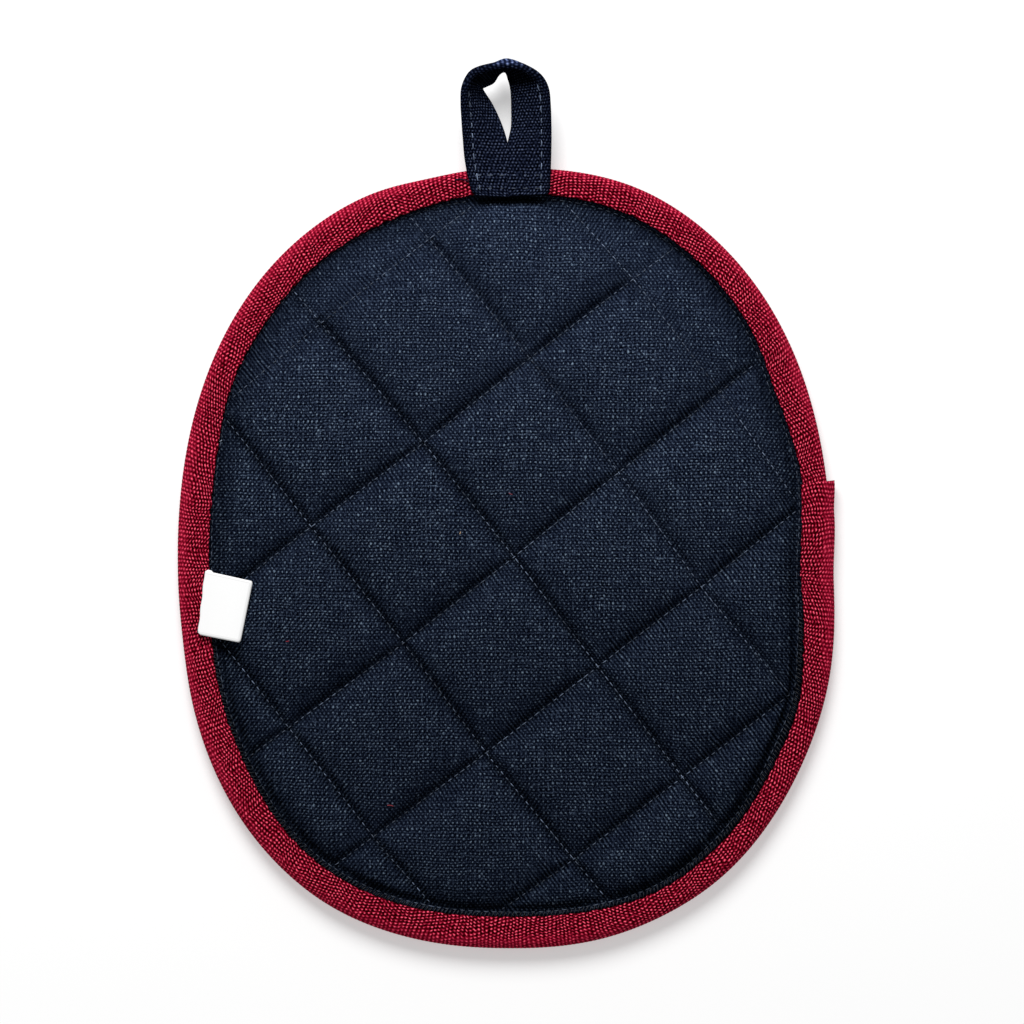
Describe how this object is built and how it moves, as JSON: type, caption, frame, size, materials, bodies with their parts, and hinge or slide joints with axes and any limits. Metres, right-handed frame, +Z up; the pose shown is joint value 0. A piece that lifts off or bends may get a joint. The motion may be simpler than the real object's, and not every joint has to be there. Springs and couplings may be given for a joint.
{
  "type": "quilted pot holder",
  "caption": "Oval pot holder: a filled pad quilted in diamonds, a folded tape binding lapped at one side, a hanging loop of tape and a small blank label.",
  "frame": {"origin": "middle of the footprint's bounding box, on the surface the pad lies on", "axes": "+Z up out of the upper face, +Y along the oval towards the hanging loop, +X to the side of the binding's lap"},
  "size_m": [0.1998, 0.271, 0.0176],
  "materials": {
    "navy_canvas": "plain-weave cotton canvas, matt, dark navy",
    "red_ribbed_tape": "coarse ribbed tape, deep red with brighter yarn crowns",
    "navy_tape": "folded and edge-stitched navy tape",
    "white_label_tape": "smooth white woven label tape, blank"
  },
  "bodies": {
    "root": {"quilted_pad": "navy_canvas", "binding": "red_ribbed_tape", "hanging_loop": "navy_tape", "label": "white_label_tape"}
  },
  "joints": []
}
